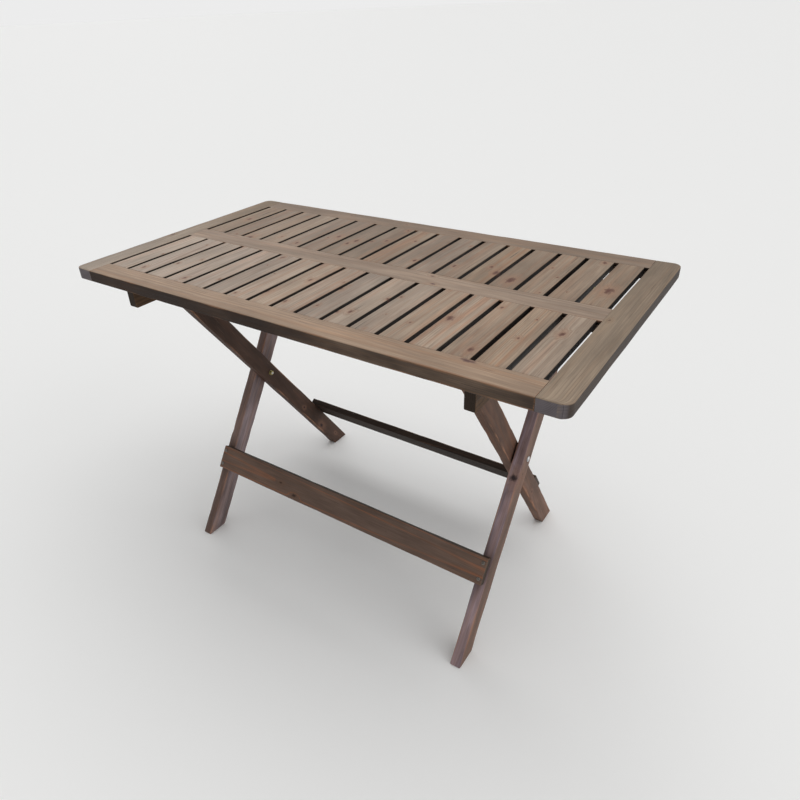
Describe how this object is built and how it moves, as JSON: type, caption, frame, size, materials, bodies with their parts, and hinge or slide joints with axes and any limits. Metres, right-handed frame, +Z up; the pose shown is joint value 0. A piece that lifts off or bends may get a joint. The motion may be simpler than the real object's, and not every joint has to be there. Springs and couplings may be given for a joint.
{
  "type": "folding picnic table",
  "caption": "Slatted rectangular wooden picnic table on two crossed leg frames that fold together like scissors under the top.",
  "frame": {"origin": "middle of the table's footprint, on the floor", "axes": "+X along the length, +Z up; -Y is the side where the outer legs' feet stand"},
  "size_m": [1.1, 0.608, 0.72],
  "materials": {
    "slat_wood": "weathered, oiled",
    "rail_wood": "weathered, oiled",
    "bearer_wood": "stained",
    "leg_wood": "stained, worn edges",
    "zinc_steel": "zinc plated"
  },
  "bodies": {
    "top": {"end_board_left": "rail_wood", "end_board_right": "rail_wood", "front_rail": "rail_wood", "rear_rail": "rail_wood", "centre_rail": "rail_wood", "rail_dowels": "bearer_wood", "slat_front_01": "slat_wood", "slat_front_02": "slat_wood", "slat_front_03": "slat_wood", "slat_front_04": "slat_wood", "slat_front_05": "slat_wood", "slat_front_06": "slat_wood", "slat_front_07": "slat_wood", "slat_front_08": "slat_wood", "slat_front_09": "slat_wood", "slat_front_10": "slat_wood", "slat_front_11": "slat_wood", "slat_front_12": "slat_wood", "slat_front_13": "slat_wood", "slat_front_14": "slat_wood", "slat_front_15": "slat_wood", "slat_front_16": "slat_wood", "slat_front_17": "slat_wood", "slat_rear_01": "slat_wood", "slat_rear_02": "slat_wood", "slat_rear_03": "slat_wood", "slat_rear_04": "slat_wood", "slat_rear_05": "slat_wood", "slat_rear_06": "slat_wood", "slat_rear_07": "slat_wood", "slat_rear_08": "slat_wood", "slat_rear_09": "slat_wood", "slat_rear_10": "slat_wood", "slat_rear_11": "slat_wood", "slat_rear_12": "slat_wood", "slat_rear_13": "slat_wood", "slat_rear_14": "slat_wood", "slat_rear_15": "slat_wood", "slat_rear_16": "slat_wood", "slat_rear_17": "slat_wood", "bearer_left": "bearer_wood", "bearer_right": "bearer_wood", "bearer_screws": "zinc_steel", "hinge_bolts": "zinc_steel", "hinge_nuts": "zinc_steel", "hinge_washers": "zinc_steel"},
    "outer_frame": {"outer_leg_left": "leg_wood", "outer_leg_right": "leg_wood", "outer_stretcher": "leg_wood", "outer_stretcher_screws": "zinc_steel", "pivot_bolts": "zinc_steel", "pivot_nuts": "zinc_steel", "pivot_washers": "zinc_steel"},
    "inner_frame": {"inner_leg_left": "leg_wood", "inner_leg_right": "leg_wood", "inner_stretcher": "leg_wood", "inner_stretcher_screws": "zinc_steel", "inner_cross_bar": "leg_wood"}
  },
  "joints": [
    {"name": "outer_frame_hinge", "type": "hinge", "parent": "top", "child": "outer_frame", "pos_m": [0, 0.21741, 0.676], "axis": [1, 0, 0], "range_deg": [0, 56]},
    {"name": "scissor_pivot", "type": "hinge", "parent": "outer_frame", "child": "inner_frame", "pos_m": [0, 0.012, 0.368], "axis": [1, 0, 0], "range_deg": [-63, 0]}
  ],
  "couplings": [
    {"joint": "scissor_pivot", "follows": "outer_frame_hinge", "ratio": -1.125}
  ]
}
